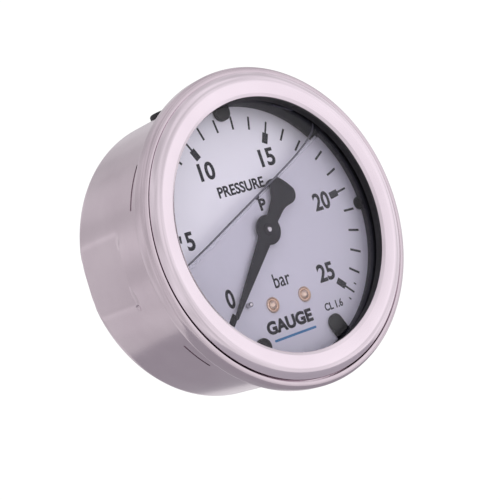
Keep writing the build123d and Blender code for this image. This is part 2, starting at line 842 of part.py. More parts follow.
# ---------------------------------------------------------------- pointer
tail_axis = pointer_rest_angle - 180
with BuildPart() as pointer:
    with BuildSketch(front(pointer_base)):
        across = pointer_rest_angle + 90
        root = pointer_disc / 2
        root_centre = polar(root, pointer_rest_angle)
        tip_centre = polar(needle_length, pointer_rest_angle)
        with BuildLine():
            Polyline(
                polar(needle_root_width / 2, across, root_centre),
                polar(needle_tip_width / 2, across, tip_centre),
                polar(-needle_tip_width / 2, across, tip_centre),
                polar(-needle_root_width / 2, across, root_centre),
                close=True,
            )
        make_face()
        neck = polar(root, tail_axis)
        low_corner = polar(tail_radius, tail_axis - tail_half_angle)
        high_corner = polar(tail_radius, tail_axis + tail_half_angle)
        low_neck = polar(tail_neck_width / 2, tail_axis - 90, neck)
        high_neck = polar(tail_neck_width / 2, tail_axis + 90, neck)
        waist = (pointer_disc + tail_radius) / 2
        waist_offset = tail_half_angle * tail_waist
        with BuildLine():
            Line(high_neck, low_neck)
            ThreePointArc(low_neck, polar(waist, tail_axis - waist_offset), low_corner)
            ThreePointArc(low_corner, polar(tail_radius, tail_axis), high_corner)
            ThreePointArc(high_corner, polar(waist, tail_axis + waist_offset), high_neck)
        make_face()
        Circle(pointer_disc)
        Circle(hub_neck_radius, mode=Mode.SUBTRACT)
    extrude(amount=pointer_sheet)
    upright = pointer.edges().filter_by(Axis.Y)
    tail_corners = upright.filter_by(
        lambda edge: abs(math.hypot(edge.center().X, edge.center().Z) - tail_radius) < seat_gap
    )
    fillet(tail_corners, tail_corner)
export(pointer.part, "pointer")

with BuildPart() as pointer_hub:
    hub_steps = (
        (pointer_base - hub_bush_length, hub_bush_length, hub_radius, arbor_radius),
        (pointer_base, pointer_sheet, hub_neck_radius, pivot_radius),
        (pointer_top, hub_rise, hub_flare_radius, pivot_radius),
    )
    for step_height, step_length, step_radius, step_bore in hub_steps:
        with BuildSketch(front(step_height)):
            Circle(step_radius)
            Circle(step_bore, mode=Mode.SUBTRACT)
        extrude(amount=step_length)
export(pointer_hub.part, "pointer_hub")
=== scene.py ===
"""Looks of a liquid-filled pressure gauge of nominal size 63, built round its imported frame.

The gauge axis is Y and the dial faces -Y. A height is measured along the axis from the
sealing shoulder towards the viewer, so it is -Y. Sizes are in millimetres and angles in
degrees, counted anticlockwise from three o'clock as the viewer sees the dial.
"""

from __future__ import annotations

import json
import logging
import math
from abc import ABC, abstractmethod
from dataclasses import dataclass
from enum import Enum
from typing import Iterable, Sequence

import bpy
from mathutils import Matrix, Vector

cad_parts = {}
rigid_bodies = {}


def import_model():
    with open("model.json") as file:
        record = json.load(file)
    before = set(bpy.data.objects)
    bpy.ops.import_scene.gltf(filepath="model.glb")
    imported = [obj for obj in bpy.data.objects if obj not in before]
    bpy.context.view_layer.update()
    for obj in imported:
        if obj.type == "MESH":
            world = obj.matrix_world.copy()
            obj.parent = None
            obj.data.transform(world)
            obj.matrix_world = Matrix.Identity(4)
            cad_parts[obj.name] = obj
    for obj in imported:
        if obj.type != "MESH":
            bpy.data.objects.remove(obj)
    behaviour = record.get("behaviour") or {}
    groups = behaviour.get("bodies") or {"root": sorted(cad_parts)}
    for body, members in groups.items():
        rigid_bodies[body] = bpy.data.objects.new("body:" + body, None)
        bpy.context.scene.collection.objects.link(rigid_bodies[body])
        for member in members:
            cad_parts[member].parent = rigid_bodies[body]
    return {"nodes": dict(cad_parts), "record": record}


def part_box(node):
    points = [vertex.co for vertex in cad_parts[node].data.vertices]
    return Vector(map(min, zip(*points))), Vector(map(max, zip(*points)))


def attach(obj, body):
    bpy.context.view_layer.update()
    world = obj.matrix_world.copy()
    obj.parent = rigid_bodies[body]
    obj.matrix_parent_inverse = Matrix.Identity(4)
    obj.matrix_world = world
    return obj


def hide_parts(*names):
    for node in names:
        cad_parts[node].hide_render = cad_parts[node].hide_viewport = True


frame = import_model()

MM = 0.001
SMOOTH_ANGLE = 32.0  # degrees, edges sharper than this stay crisp
BEVEL_ANGLE = 40.0  # degrees, edges sharper than this are rounded
MERGE_DISTANCE = 1e-7  # metres
TURN_STEPS = 256  # faces round a large turned piece
FINE_STEPS = 48  # faces round a small one
CORNER_STEPS = 6  # faces across a rounded corner
PLAIN_IOR = 1.5  # most varnishes, inks and plastics

log = logging.getLogger("gauge")
Piece = bpy.types.Object
Tree = bpy.types.NodeTree
Socket = bpy.types.NodeSocket
Pair = tuple[float, float]
Triple = tuple[float, float, float]
Outline = list[Pair]


# --- places
def place(x: float, height: float, z: float) -> Vector:
    """Point in the frame from its x, height and z in millimetres."""
    return Vector((x, -height, z)) * MM


def on_dial(radius: float, angle: float, height: float = 0.0) -> Vector:
    """Point at a radius, a dial angle and a height."""
    turn = math.radians(angle)
    return place(radius * math.cos(turn), height, radius * math.sin(turn))


@dataclass(frozen=True)
class Extent:
    """A CAD node's reach along the axis and away from it, in millimetres."""

    back: float
    front: float
    radius: float

    @classmethod
    def of(cls, node: str) -> Extent:
        """Measure a CAD node.

        Args:
            node: the CAD node's name.

        Returns:
            The node's lowest and highest height and its reach along X.
        """
        low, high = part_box(node)
        return cls(-high.y / MM, -low.y / MM, high.x / MM)


# --- modelling steps
def rounded(corners: Sequence[Triple], steps: int = CORNER_STEPS) -> Outline:
    """Outline through corners, each rounded by its own radius.

    Args:
        corners: (x, y, rounding) of each corner, the ends with no rounding.
        steps: faces across each rounded corner.

    Returns:
        The outline's points.
    """
    points: Outline = []
    for index, (x, y, rounding) in enumerate(corners):
        if rounding == 0.0:
            points.append((x, y))
            continue
        corner = Vector((x, y, 0))
        before = corners[index - 1]
        after = corners[(index + 1) % len(corners)]
        back = (Vector((before[0], before[1], 0)) - corner).normalized()
        ahead = (Vector((after[0], after[1], 0)) - corner).normalized()
        half = back.angle(ahead) / 2
        centre = corner + (back + ahead).normalized() * (rounding / math.sin(half))
        first = corner + back * (rounding / math.tan(half)) - centre
        last = corner + ahead * (rounding / math.tan(half)) - centre
        for step in range(steps + 1):
            spoke = first.slerp(last, step / steps).normalized() * rounding
            points.append((centre.x + spoke.x, centre.y + spoke.y))
    return points


def divided(start: Pair, end: Pair, pitch: float) -> Outline:
    """Points between two ends, both left out, about a pitch apart."""
    run = math.dist(start, end)
    count = max(1, round(run / pitch))
    return [tuple(
        first + (last - first) * step / count for first, last in zip(start, end)
    ) for step in range(1, count)]


def clear_selection() -> None:
    """Deselect every object, since an operator acts on all that is selected."""
    if bpy.context.object and bpy.context.object.mode != "OBJECT":
        bpy.ops.object.mode_set(mode="OBJECT")
    bpy.ops.object.select_all(action="DESELECT")


def choose(*pieces: Piece) -> None:
    """Select these pieces alone, the first of them active."""
    clear_selection()
    for piece in pieces:
        piece.select_set(True)
    bpy.context.view_layer.objects.active = pieces[0]


def name_piece(name: str) -> Piece:
    """Name the active object and its mesh, and return it."""
    piece = bpy.context.object
    piece.name = name
    piece.data.name = name
    return piece


def edit(piece: Piece) -> None:
    """Open a piece in edit mode, with all of it selected."""
    choose(piece)
    bpy.ops.object.mode_set(mode="EDIT")
    bpy.ops.mesh.select_all(action="SELECT")


def close_up(piece: Piece) -> None:
    """Merge doubled points and turn every face outwards."""
    edit(piece)
    bpy.ops.mesh.remove_doubles(threshold=MERGE_DISTANCE)
    bpy.ops.mesh.normals_make_consistent(inside=False)
    bpy.ops.object.mode_set(mode="OBJECT")


def smooth(piece: Piece, angle: float = SMOOTH_ANGLE) -> None:
    """Shade a piece smooth across edges blunter than an angle in degrees."""
    choose(piece)
    bpy.ops.object.shade_smooth_by_angle(angle=math.radians(angle))


def settle(piece: Piece, offset: Vector | None = None, turn: float = 0.0) -> None:
    """Put a piece's place, turn and scale into its mesh.

    Args:
        piece: the piece to settle.
        offset: where it is moved to first, in metres.
        turn: its turn about the gauge axis first, anticlockwise as the viewer sees it.
    """
    if offset is not None:
        piece.location = offset
    if turn:
        piece.rotation_euler = (0, -math.radians(turn), 0)
    choose(piece)
    bpy.ops.object.transform_apply(location=True, rotation=True, scale=True)


def trace(name: str, points: Sequence[Vector]) -> Piece:
    """Draw a chain of edges point by point, and leave all of it selected in edit mode.

    Args:
        name: the new piece's name.
        points: the chain's points in the frame, in metres.

    Returns:
        The new piece.
    """
    clear_selection()
    bpy.ops.mesh.primitive_plane_add(size=MM)
    piece = name_piece(name)
    bpy.ops.object.mode_set(mode="EDIT")
    bpy.ops.mesh.select_all(action="SELECT")
    bpy.ops.mesh.merge(type="CENTER")
    bpy.ops.transform.translate(value=points[0])
    for before, after in zip(points, points[1:]):
        bpy.ops.mesh.extrude_region_move(TRANSFORM_OT_translate={"value": after - before})
    bpy.ops.mesh.select_all(action="SELECT")
    return piece


def turned(name: str, outline: Outline, steps: int = TURN_STEPS) -> Piece:
    """Turn a closed outline about the gauge axis, as on a lathe.

    Args:
        name: the new piece's name.
        outline: (radius, height) of each point; it closes on its first point, or on
            the axis where both its ends lie there.
        steps: faces round the piece.

    Returns:
        The turned piece, closed and facing outwards.
    """
    on_axis = outline[0][0] == 0.0 and outline[-1][0] == 0.0
    loop = outline if on_axis else [*outline, outline[0]]
    piece = trace(name, [place(radius, height, 0) for radius, height in loop])
    bpy.ops.mesh.spin(steps=steps, angle=math.tau, center=(0, 0, 0), axis=(0, 1, 0))
    close_up(piece)
    smooth(piece)
    return piece


def plate(name: str, outline: Outline, base: float, thickness: float) -> Piece:
    """Cut a flat plate to an outline.

    Args:
        name: the new piece's name.
        outline: (x, z) of each point round the plate.
        base: height of its back face.
        thickness: its thickness.

    Returns:
        The plate, closed and facing outwards.
    """
    piece = trace(name, [place(x, base, z) for x, z in [*outline, outline[0]]])
    bpy.ops.mesh.remove_doubles(threshold=MERGE_DISTANCE)
    bpy.ops.mesh.edge_face_add()
    bpy.ops.mesh.extrude_region_move(TRANSFORM_OT_translate={"value": (0, -thickness * MM, 0)})
    close_up(piece)
    return piece


def modify(piece: Piece, kind: str, **settings: object) -> None:
    """Give a piece a modifier with these settings, and apply it."""
    choose(piece)
    modifier = piece.modifiers.new(kind.lower(), kind)
    for key, value in settings.items():
        setattr(modifier, key, value)
    bpy.ops.object.modifier_apply(modifier=modifier.name)


def bevel(piece: Piece, width: float, segments: int) -> None:
    """Round the sharp edges of a piece by a width in millimetres, with some faces across."""
    limit = math.radians(BEVEL_ANGLE)
    modify(piece, "BEVEL", width=width * MM, segments=segments, limit_method="ANGLE", angle_limit=limit)


def join(name: str, pieces: Sequence[Piece]) -> Piece:
    """Join several meshes into one piece."""
    choose(*pieces)
    if len(pieces) > 1:
        bpy.ops.object.join()
    return name_piece(name)


def repeated(name: str, piece: Piece, offsets: Iterable[Vector]) -> Piece:
    """Put a copy of a piece at each of several places, joined into one piece.

    Args:
        name: the new piece's name.
        piece: what to copy; it is removed.
        offsets: how far each copy moves, in metres.

    Returns:
        The joined copies.
    """
    copies = []
    for offset in offsets:
        choose(piece)
        bpy.ops.object.duplicate(linked=False)
        copies.append(bpy.context.object)
        settle(copies[-1], offset)
    bpy.data.objects.remove(piece)
    return join(name, copies)


def combine(piece: Piece, tool: Piece, how: str) -> None:
    """Unite, cut or intersect a piece with a tool, and remove the tool.

    Args:
        piece: the piece that is changed.
        tool: the closed mesh it is combined with.
        how: UNION, DIFFERENCE or INTERSECT.
    """
    modify(piece, "BOOLEAN", operation=how, solver="EXACT", object=tool)
    bpy.data.objects.remove(tool)


# --- colour and nodes
def linear(hex_colour: str) -> tuple[float, float, float, float]:
    """Turn an sRGB hex colour into Blender's linear colour.

    Args:
        hex_colour: six hex digits, with or without a leading #.

    Returns:
        Linear red, green, blue and an alpha of one.
    """
    digits = hex_colour.lstrip("#")
    shares = [int(digits[start : start + 2], 16) / 255 for start in (0, 2, 4)]
    red, green, blue = (
        share / 12.92 if share <= 0.04045 else ((share + 0.055) / 1.055) ** 2.4
        for share in shares
    )
    return (red, green, blue, 1.0)


def add_node(
    tree: Tree, kind: str, inputs: dict[str | int, object] | None = None, **settings: object
) -> bpy.types.Node:
    """Add a node, with its inputs and its settings.

    Args:
        tree: the node tree it joins.
        kind: the node's type.
        inputs: a value or an output socket for each named or numbered input.
        **settings: its properties.

    Returns:
        The new node.
    """
    node = tree.nodes.new(kind)
    for key, value in settings.items():
        setattr(node, key, value)
    for key, value in (inputs or {}).items():
        if isinstance(value, Socket):
            tree.links.new(value, node.inputs[key])
        else:
            node.inputs[key].default_value = value
    return node


def noise(tree: Tree, vector: Socket, scale: float, detail: float) -> Socket:
    """Add a noise and return its factor."""
    inputs = {"Vector": vector, "Scale": scale, "Detail": detail}
    return add_node(tree, "ShaderNodeTexNoise", inputs).outputs["Fac"]


def remap(tree: Tree, value: Socket, source: Pair, levels: Pair) -> Socket:
    """Spread a value from one range over another, clamped at both ends."""
    names = ("From Min", "From Max", "To Min", "To Max")
    inputs = {"Value": value, **dict(zip(names, (*source, *levels)))}
    return add_node(tree, "ShaderNodeMapRange", inputs).outputs["Result"]


def relief(tree: Tree, height: Socket, depth: float) -> Socket:
    """Add a bump of a depth in millimetres and return the normal that it gives."""
    inputs = {"Height": height, "Distance": depth * MM}
    return add_node(tree, "ShaderNodeBump", inputs).outputs["Normal"]


def by_ray(tree: Tree, ray: str, usual: Socket, special: Socket) -> Socket:
    """Choose between two shaders: the special one for one kind of ray, else the usual one."""
    path = add_node(tree, "ShaderNodeLightPath")
    inputs = {0: path.outputs[ray], 1: usual, 2: special}
    return add_node(tree, "ShaderNodeMixShader", inputs).outputs[0]


@dataclass(frozen=True)
class Look(ABC):
    """A procedural material, known by its name."""

    name: str
    colour: str

    def material(self) -> bpy.types.Material:
        """Find the material by its name, or build it."""
        found = bpy.data.materials.get(self.name)
        if found:
            return found
        material = bpy.data.materials.new(self.name)
        material.use_nodes = True
        tree = material.node_tree
        tree.nodes.clear()
        add_node(tree, "ShaderNodeOutputMaterial", {"Surface": self.surface(tree)})
        return material

    @abstractmethod
    def surface(self, tree: Tree) -> Socket:
        """Add the nodes that shade the surface, and return the shader they end in."""


@dataclass(frozen=True)
class Finish(Look):
    """An opaque finish: base colour, a second tone that mottles it, and its grain.

    Sizes are in millimetres. The grain is stretched along the gauge axis or round it
    by the three stretch factors.
    """

    tone: str
    metallic: float = 0.0
    roughness: float = 0.5
    spread: float = 0.06  # how far the roughness strays either way
    mirror: float = 0.5  # Specular IOR Level: a half against air, far less in glycerine
    grain: float = 0.3
    depth: float = 0.002
    mottle: float = 8.0
    stretch: Triple = (1.0, 1.0, 1.0)

    def surface(self, tree: Tree) -> Socket:
        """Add the nodes of the mottled colour, the uneven gloss and the grain's relief."""
        here = add_node(tree, "ShaderNodeTexCoord").outputs["Object"]
        grid = add_node(tree, "ShaderNodeMapping", {"Vector": here, "Scale": self.stretch})
        grain = noise(tree, grid.outputs[0], 1 / (self.grain * MM), 3.0)
        mottle = noise(tree, here, 1 / (self.mottle * MM), 4.0)
        tones = {"Factor": mottle, "A": linear(self.colour), "B": linear(self.tone)}
        tint = add_node(tree, "ShaderNodeMix", tones, data_type="RGBA")
        range_of_gloss = (max(0.0, self.roughness - self.spread), self.roughness + self.spread)
        inputs = {
            "Base Color": tint.outputs["Result"], "Metallic": self.metallic,
            "Roughness": remap(tree, grain, (0.0, 1.0), range_of_gloss), "IOR": PLAIN_IOR,
            "Specular IOR Level": self.mirror, "Normal": relief(tree, grain, self.depth)
        }
        return add_node(tree, "ShaderNodeBsdfPrincipled", inputs).outputs[0]


@dataclass(frozen=True)
class Clear(Look):
    """A clear finish that lets straight shadow rays through, tinted on the way."""

    shadow_colour: str
    ior: float
    mirror: str = "#FFFFFF"  # how much of the surface reflection is kept
    ripple: float = 12.0
    depth: float = 0.0004

    def surface(self, tree: Tree) -> Socket:
        """Add the nodes of the refracting surface and of its tinted shadow."""
        here = add_node(tree, "ShaderNodeTexCoord").outputs["Object"]
        waves = noise(tree, here, 1 / (self.ripple * MM), 1.0)
        inputs = {
            "Base Color": linear(self.colour), "Roughness": 0.0, "IOR": self.ior,
            "Specular Tint": linear(self.mirror), "Transmission Weight": 1.0,
            "Normal": relief(tree, waves, self.depth)
        }
        shader = add_node(tree, "ShaderNodeBsdfPrincipled", inputs)
        shade = {"Color": linear(self.shadow_colour)}
        open_way = add_node(tree, "ShaderNodeBsdfTransparent", shade)
        return by_ray(tree, "Is Shadow Ray", shader.outputs[0], open_way.outputs[0])


# Screen-printing ink: matt black, a little uneven where the mesh laid it down, wetted.
PRINTING_INK = Finish(
    "screen_printed_black_ink", "#1E1D26", "#2A2934", roughness=0.6, mirror=0.1, grain=0.08, depth=0.001,
    mottle=1.2
)
# The same ink in blue.
BLUE_INK = Finish(
    "screen_printed_blue_ink", "#2F78B4", "#3B86C0", roughness=0.55, grain=0.08, depth=0.001, mottle=1.2
)
# Glycerine: clear, a touch violet-grey in bulk; it wets the glass, so that almost
# nothing is reflected where they meet.
GLYCERINE = Clear(
    "glycerine_filling", "#F4F3F8", "#EFEEF4", ior=1.47, mirror="#303030", ripple=20.0, depth=0.0
)
# The same glycerine where it curls up the glass and turns dark edges towards the eye. The bead is real,
# but its opaque dark grey is painted refraction: the clear bead would show this darkness by bending the
# black ring's image.
PAINTED_REFRACTION_MENISCUS = Finish(
    "meniscus_painted_dark_refraction", "#5E5C6A", "#4A4855", spread=0.05, roughness=0.15, grain=2.0, depth=0.0,
    mottle=4.0
)


class Slot(Enum):
    """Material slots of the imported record, with the finish each one takes."""

    # Pressed 304 stainless sheet, bright annealed: a warm grey mirror, softly blurred, with
    # faint drawing lines along the wall and broad dull patches from handling.
    STAINLESS_CASE = Finish(
        "bright_pressed_stainless_steel", "#DFD4DA", "#C9BCC4", metallic=1.0, roughness=0.17, spread=0.05,
        grain=0.35, depth=0.0012, mottle=11.0, stretch=(1.0, 0.12, 1.0)
    )
    # The same steel, polished on a mandrel: brighter and sharper, with a very fine grain.
    POLISHED_BEZEL = Finish(
        "polished_stainless_steel", "#F4EAF1", "#E4D8E0", metallic=1.0, roughness=0.14, spread=0.03,
        grain=0.3, depth=0.0006, mottle=14.0
    )
    # Laminated safety glass: clear, with the faintest ripple.
    WINDOW_PANE = Clear("laminated_safety_glass", "#FFFFFF", "#FCFCFE", ior=1.5, mirror="#9A9A9A")
    # Nitrile rubber, compression moulded: near-black, dull, with a fine leathery skin.
    SEAL_RUBBER = Finish(
        "moulded_nitrile_rubber", "#1B1A1C", "#26252A", roughness=0.62, spread=0.1, grain=0.18,
        depth=0.006, mottle=3.0
    )
    # Polyamide, injection moulded: black with a satin skin, wetted.
    BLACK_MOULDING = Finish(
        "injection_moulded_black_nylon", "#14141A", "#1A1A22", roughness=0.4, mirror=0.15, grain=0.12,
        mottle=5.0
    )
    # Stove enamel on an aluminium sheet: cold white, even, satin, wetted by glycerine.
    DIAL_ENAMEL = Finish(
        "stove_enamelled_aluminium", "#EFECF8", "#EBE8F5", roughness=0.5, mirror=0.1, spread=0.03,
        grain=0.1, depth=0.0006, mottle=9.0
    )
    # Copper, cold headed: salmon pink, soft sheen.
    COPPER = Finish(
        "cold_headed_copper", "#F0DCCD", "#DCBFA9", metallic=1.0, roughness=0.3, grain=0.12, mottle=1.4
    )
    # Free-cutting steel, turned and burnished.
    BRIGHT_STEEL = Finish(
        "burnished_turned_steel", "#D2CFD2", "#BDB9BE", metallic=1.0, roughness=0.22, spread=0.05,
        grain=0.08, depth=0.0008, mottle=2.0
    )
    # CW614N brass, machined from bar: yellow, with fine tool lines.
    BRASS = Finish(
        "machined_brass", "#E2C078", "#CDA65C", metallic=1.0, roughness=0.26, grain=0.14, mottle=4.0,
        stretch=(1.0, 3.0, 1.0)
    )
    # Phosphor bronze strip and tube, drawn: redder than brass, satin.
    PHOSPHOR_BRONZE = Finish(
        "drawn_phosphor_bronze", "#D8A274", "#BF8657", metallic=1.0, roughness=0.32, grain=0.12,
        depth=0.0015, mottle=3.0
    )
    # Aluminium sheet, blanked and sprayed matt black, wetted.
    POINTER_PAINT = Finish(
        "matt_black_sprayed_aluminium", "#22202A", "#2A2833", roughness=0.42, mirror=0.15, grain=0.09,
        mottle=2.5
    )


def dress(piece: Piece, finish: Look) -> None:
    """Give a piece one finish all over."""
    piece.data.materials.clear()
    piece.data.materials.append(finish.material())


def fit(
    piece: Piece, slot: Slot, *replaced: str, finish: Look | None = None, body: str = "case"
) -> None:
    """Dress a finished piece and let it ride on its body.

    Args:
        piece: the piece, with its place in its mesh.
        slot: the record's slot that it takes its finish from.
        *replaced: the CAD nodes that it stands for.
        finish: its finish, where that isn't the slot's own.
        body: the CAD body it moves with.
    """
    dress(piece, finish or slot.value)
    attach(piece, body)
    if replaced:
        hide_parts(*replaced)
    log.info("%s: %d faces on %s", piece.name, len(piece.data.polygons), body)


# --- case
@dataclass
class Case:
    """The pressed case with its folded rim, the filling plug and the back's screws."""

    size: Extent = Extent.of("case_shell")
    wall_radius: float = 31.2
    wall: float = 0.8
    corner: float = 1.5
    rim_rear: float = 35.0
    rim_bore: float = 32.54
    rim_rounding: float = 0.9
    hem_rounding: float = 0.1
    neck_hole: float = 6.95
    row_pitch: float = 0.6
    flat_distance: float = 30.3
    flat_width: float = 22.0
    flat_end: float = 24.7
    flat_rounding: float = 0.3
    slack: float = 0.02
    pits: tuple[Triple, ...] = ((193.0, 24.0, 1.1), (168.5, 24.9, 0.4))
    punch_share: float = 0.72  # how far a punch's centre stays outside, as a share of its radius
    seam_width: float = 0.45
    seams: tuple[Triple, ...] = ((140.0, 158.5, 29.8), (213.0, 226.0, 28.5))
    flat_angles: tuple[float, ...] = (58.0, 178.0, 298.0)
    plug_height: float = 15.0
    plug_cap: float = 4.5
    plug_neck: float = 3.35
    screw_circle: float = 10.6
    screw_head: float = 2.0
    screw_angles: tuple[float, ...] = (30.0, 150.0, 270.0)

    def outline(self) -> Outline:
        """Section of the case, round the outside and back along the inside."""
        wall = self.wall_radius
        back, front, rim = self.size.back, self.size.front, self.size.radius
        bore = wall - self.wall
        floor = back + self.wall
        step = self.rim_rear + self.wall
        outside = rounded([
            (self.neck_hole, floor, 0.0), (self.neck_hole, back, 0.0), (wall, back, self.corner),
            (wall, self.rim_rear, 0.0)
        ])
        rows = divided(outside[-2], outside[-1], self.row_pitch)
        outside = [*outside[:-1], *rows, outside[-1]]
        fold = rounded([
            (wall, self.rim_rear, 0.0), (rim, self.rim_rear, self.rim_rounding),
            (rim, front, self.rim_rounding), (self.rim_bore, front, self.hem_rounding),
            (self.rim_bore, step, 0.0), (bore, step, 0.0), (bore, floor, self.corner - self.wall),
            (self.neck_hole, floor, 0.0)
        ])[1:-1]
        inner_start = fold.index((bore, step))
        inner_rows = divided(fold[inner_start], fold[inner_start + 1], self.row_pitch)
        return [*outside, *fold[: inner_start + 1], *inner_rows, *fold[inner_start + 1 :]]

    def stamp(self, shell: Piece, outer: bool) -> None:
        """Press the flats into one skin of the wall, with a rounded die for each.

        Args:
            shell: the case.
            outer: True for the outer skin, False for the inner.
        """
        distance = self.flat_distance - (0.0 if outer else self.wall)
        group = shell.vertex_groups.new(name="skin")
        floor = self.size.back + self.wall
        members = []
        for vertex in shell.data.vertices:
            radius, height = math.hypot(vertex.co.x, vertex.co.z) / MM, -vertex.co.y / MM
            is_outer = radius > self.wall_radius - self.wall / 2 or height < floor - self.slack
            if is_outer == outer and height < self.rim_rear - self.wall:
                members.append(vertex.index)
        group.add(members, 1.0, "REPLACE")
        back = self.size.back - self.wall
        length = self.flat_end - back
        for angle in self.flat_angles:
            clear_selection()
            bpy.ops.mesh.primitive_cube_add(size=MM)
            die = name_piece("stamping_die")
            die.scale = (self.flat_width / 2, length, self.flat_width)
            die.location = place(distance + self.flat_width / 4, back + length / 2, 0)
            settle(die)
            settle(die, turn=angle)
            bevel(die, self.flat_rounding, 4)
            modify(
                shell, "SHRINKWRAP", target=die, wrap_method="NEAREST_SURFACEPOINT", wrap_mode="OUTSIDE",
                vertex_group="skin"
            )
            bpy.data.objects.remove(die)
        shell.vertex_groups.clear()

    def seam(self, start: float, end: float, low: float) -> Piece:
        """Make the tool that opens the seam behind the rim.

        Args:
            start: dial angle where the opening begins.
            end: dial angle where it ends.
            low: height of its rear edge.

        Returns:
            The tool, a closed arc that reaches half through the wall.
        """
        high = low + self.seam_width
        inner, outer = self.wall_radius - self.wall / 2, self.wall_radius + self.wall
        corners = [(inner, low), (outer, low), (outer, high), (inner, high), (inner, low)]
        tool = trace("seam_tool", [place(radius, height, 0) for radius, height in corners])
        arc = math.radians(end - start)
        bpy.ops.mesh.spin(steps=24, angle=arc, center=(0, 0, 0), axis=(0, 1, 0))
        bpy.ops.mesh.select_all(action="SELECT")
        bpy.ops.mesh.remove_doubles(threshold=MERGE_DISTANCE)
        bpy.ops.mesh.fill_holes(sides=0)
        close_up(tool)
        settle(tool, turn=start)
        return tool

    def build_shell(self) -> None:
        """Press the case from sheet."""
        shell = turned("case_body", self.outline())
        self.stamp(shell, outer=False)
        self.stamp(shell, outer=True)
        for start, end, low in self.seams:
            combine(shell, self.seam(start, end, low), "DIFFERENCE")
        for angle, height, radius in self.pits:
            clear_selection()
            bpy.ops.mesh.primitive_uv_sphere_add(segments=32, ring_count=20, radius=radius * MM)
            punch = name_piece("punch")
            settle(punch, on_dial(self.wall_radius + self.punch_share * radius, angle, height))
            combine(shell, punch, "DIFFERENCE")
        smooth(shell)
        fit(shell, Slot.STAINLESS_CASE, "case_shell")

    def build_plug(self) -> None:
        """Mould the rubber filling plug, which snaps into the wall at twelve o'clock."""
        low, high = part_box("filling_plug")
        top = high.z / MM
        shoulder = self.wall_radius
        bore = self.wall_radius - self.wall
        cap = turned("rubber_filling_plug", rounded([
            (0.0, low.z / MM, 0.0), (self.plug_neck + 0.9, low.z / MM, 0.3),
            (self.plug_neck + 0.9, bore - 0.35, 0.2), (self.plug_neck, bore - 0.35, 0.0),
            (self.plug_neck, shoulder + 0.05, 0.0), (self.plug_cap, shoulder - 0.25, 0.2),
            (self.plug_cap, top - 0.1, 0.45), (self.plug_cap - 1.3, top, 0.3),
            (self.plug_cap - 1.7, top - 0.3, 0.15), (0.9, top - 0.3, 0.1), (0.6, top - 0.55, 0.1),
            (0.0, top - 0.55, 0.0)
        ]), FINE_STEPS)
        # turned along the gauge axis, it is stood up on its own
        cap.rotation_euler = (-math.pi / 2, 0, 0)
        settle(cap, place(0, self.plug_height, 0))
        fit(cap, Slot.SEAL_RUBBER, "filling_plug")

    def build_screws(self) -> None:
        """Turn one socket screw, and put a copy at each of the stem's screws."""
        size = Extent.of("stem_screws")
        head_top = size.back
        shoulder = self.size.back
        screw = turned("stem_screw", rounded([
            (0.0, size.front, 0.0), (1.25, size.front, 0.25), (1.25, shoulder, 0.0),
            (self.screw_head, shoulder, 0.1), (self.screw_head, head_top, 0.25),
            (1.05, head_top, 0.06), (0.95, head_top + 0.7, 0.0), (0.0, head_top + 0.8, 0.0)
        ], 3), 36)
        places = [on_dial(self.screw_circle, angle) for angle in self.screw_angles]
        heads = repeated("case_stem_screws", screw, places)
        smooth(heads)
        fit(heads, Slot.BRIGHT_STEEL, "stem_screws")

    def build(self) -> None:
        """Build the whole sub-assembly."""
        self.build_shell()
        self.build_plug()
        self.build_screws()


